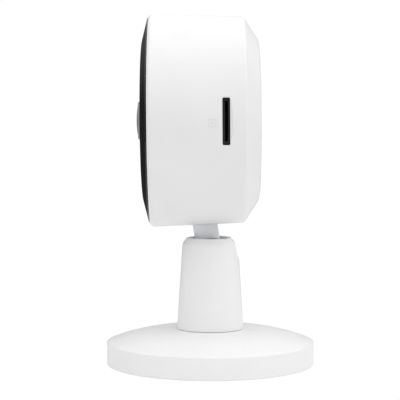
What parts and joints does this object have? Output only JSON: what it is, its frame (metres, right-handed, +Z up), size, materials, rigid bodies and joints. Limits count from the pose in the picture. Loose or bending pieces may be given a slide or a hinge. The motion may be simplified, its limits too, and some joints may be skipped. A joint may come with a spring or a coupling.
{
  "type": "indoor security camera",
  "caption": "Round white camera head with a glossy black front on a tilting neck, a hollow swivelling stem and a round weighted base; memory card slot in the side.",
  "frame": {"origin": "centre of the underside of the base, on the surface it stands on", "axes": "+Z up, the lens faces -Y, the memory card slot is on the +X side"},
  "size_m": [0.0632, 0.062, 0.1045],
  "materials": {
    "white_plastic": "fine satin moulding",
    "plate_plastic": "fine spark-eroded texture",
    "black_gloss": "polished",
    "black_matte": "fine matt moulding",
    "lens_glass": "coated, polished",
    "filter_glass": "coated, polished",
    "sensor_package": "glass-covered package",
    "circuit_board": "solder resist over copper",
    "chip_package": "moulded epoxy",
    "lamp_package": "clear domes on white packages",
    "light_pipe": "clear moulding",
    "film": "flexible printed film",
    "black_rubber": "foam and moulded rubber",
    "thermal_rubber": "soft filled silicone",
    "aluminium": "pressed sheet",
    "plated_steel": "bright tin plating",
    "screw_steel": "zinc plating",
    "cast_ballast": "cast, blackened",
    "grey_plastic": "satin moulding"
  },
  "bodies": {
    "base": {"base_shell": "white_plastic", "base_plate": "plate_plastic", "ballast_plate": "cast_ballast", "foot_pad": "black_rubber", "base_screws": "screw_steel", "swivel_ring": "black_matte"},
    "stem": {"stem_shell": "white_plastic", "hinge_bracket": "black_matte", "hinge_screw": "screw_steel", "hinge_nut": "screw_steel", "friction_washers": "screw_steel", "stem_screws": "screw_steel", "swivel_screw": "screw_steel", "swivel_washer": "screw_steel"},
    "head": {"rear_housing": "white_plastic", "front_panel": "black_gloss", "front_frame": "black_matte", "lens_ring": "grey_plastic", "lens_window": "lens_glass", "lens_barrel": "black_matte", "lens_element": "lens_glass", "lens_holder": "black_matte", "ir_cut_filter": "filter_glass", "image_sensor": "sensor_package", "sensor_board": "circuit_board", "light_gasket": "black_rubber", "ir_led_board": "circuit_board", "ir_leds": "lamp_package", "status_light": "light_pipe", "microphone": "plated_steel", "mic_gasket": "black_rubber", "main_board": "circuit_board", "processor": "chip_package", "thermal_pad": "thermal_rubber", "heat_spreader": "aluminium", "radio_shield": "plated_steel", "card_socket": "black_matte", "usb_port": "plated_steel", "ribbon_cable": "film", "wifi_antenna": "film", "speaker": "black_matte", "speaker_gasket": "black_rubber", "reset_switch": "plated_steel", "frame_screws": "screw_steel", "board_screws": "screw_steel", "sensor_screws": "screw_steel", "neck": "grey_plastic", "neck_screw": "screw_steel"},
    "button": {"reset_button": "grey_plastic"}
  },
  "joints": [
    {"name": "pan_swivel", "type": "hinge", "parent": "base", "child": "stem", "pos_m": [0, 0, 0.0107], "axis": [0, 0, 1], "continuous": true},
    {"name": "neck_tilt", "type": "hinge", "parent": "stem", "child": "head", "pos_m": [0, 0, 0.0329], "axis": [-1, 0, 0], "range_deg": [-8, 65]},
    {"name": "reset_press", "type": "slide", "parent": "head", "child": "button", "axis": [0, -1, -0.007], "range_m": [0, 0.0004], "stiffness_N_per_m": 400}
  ]
}
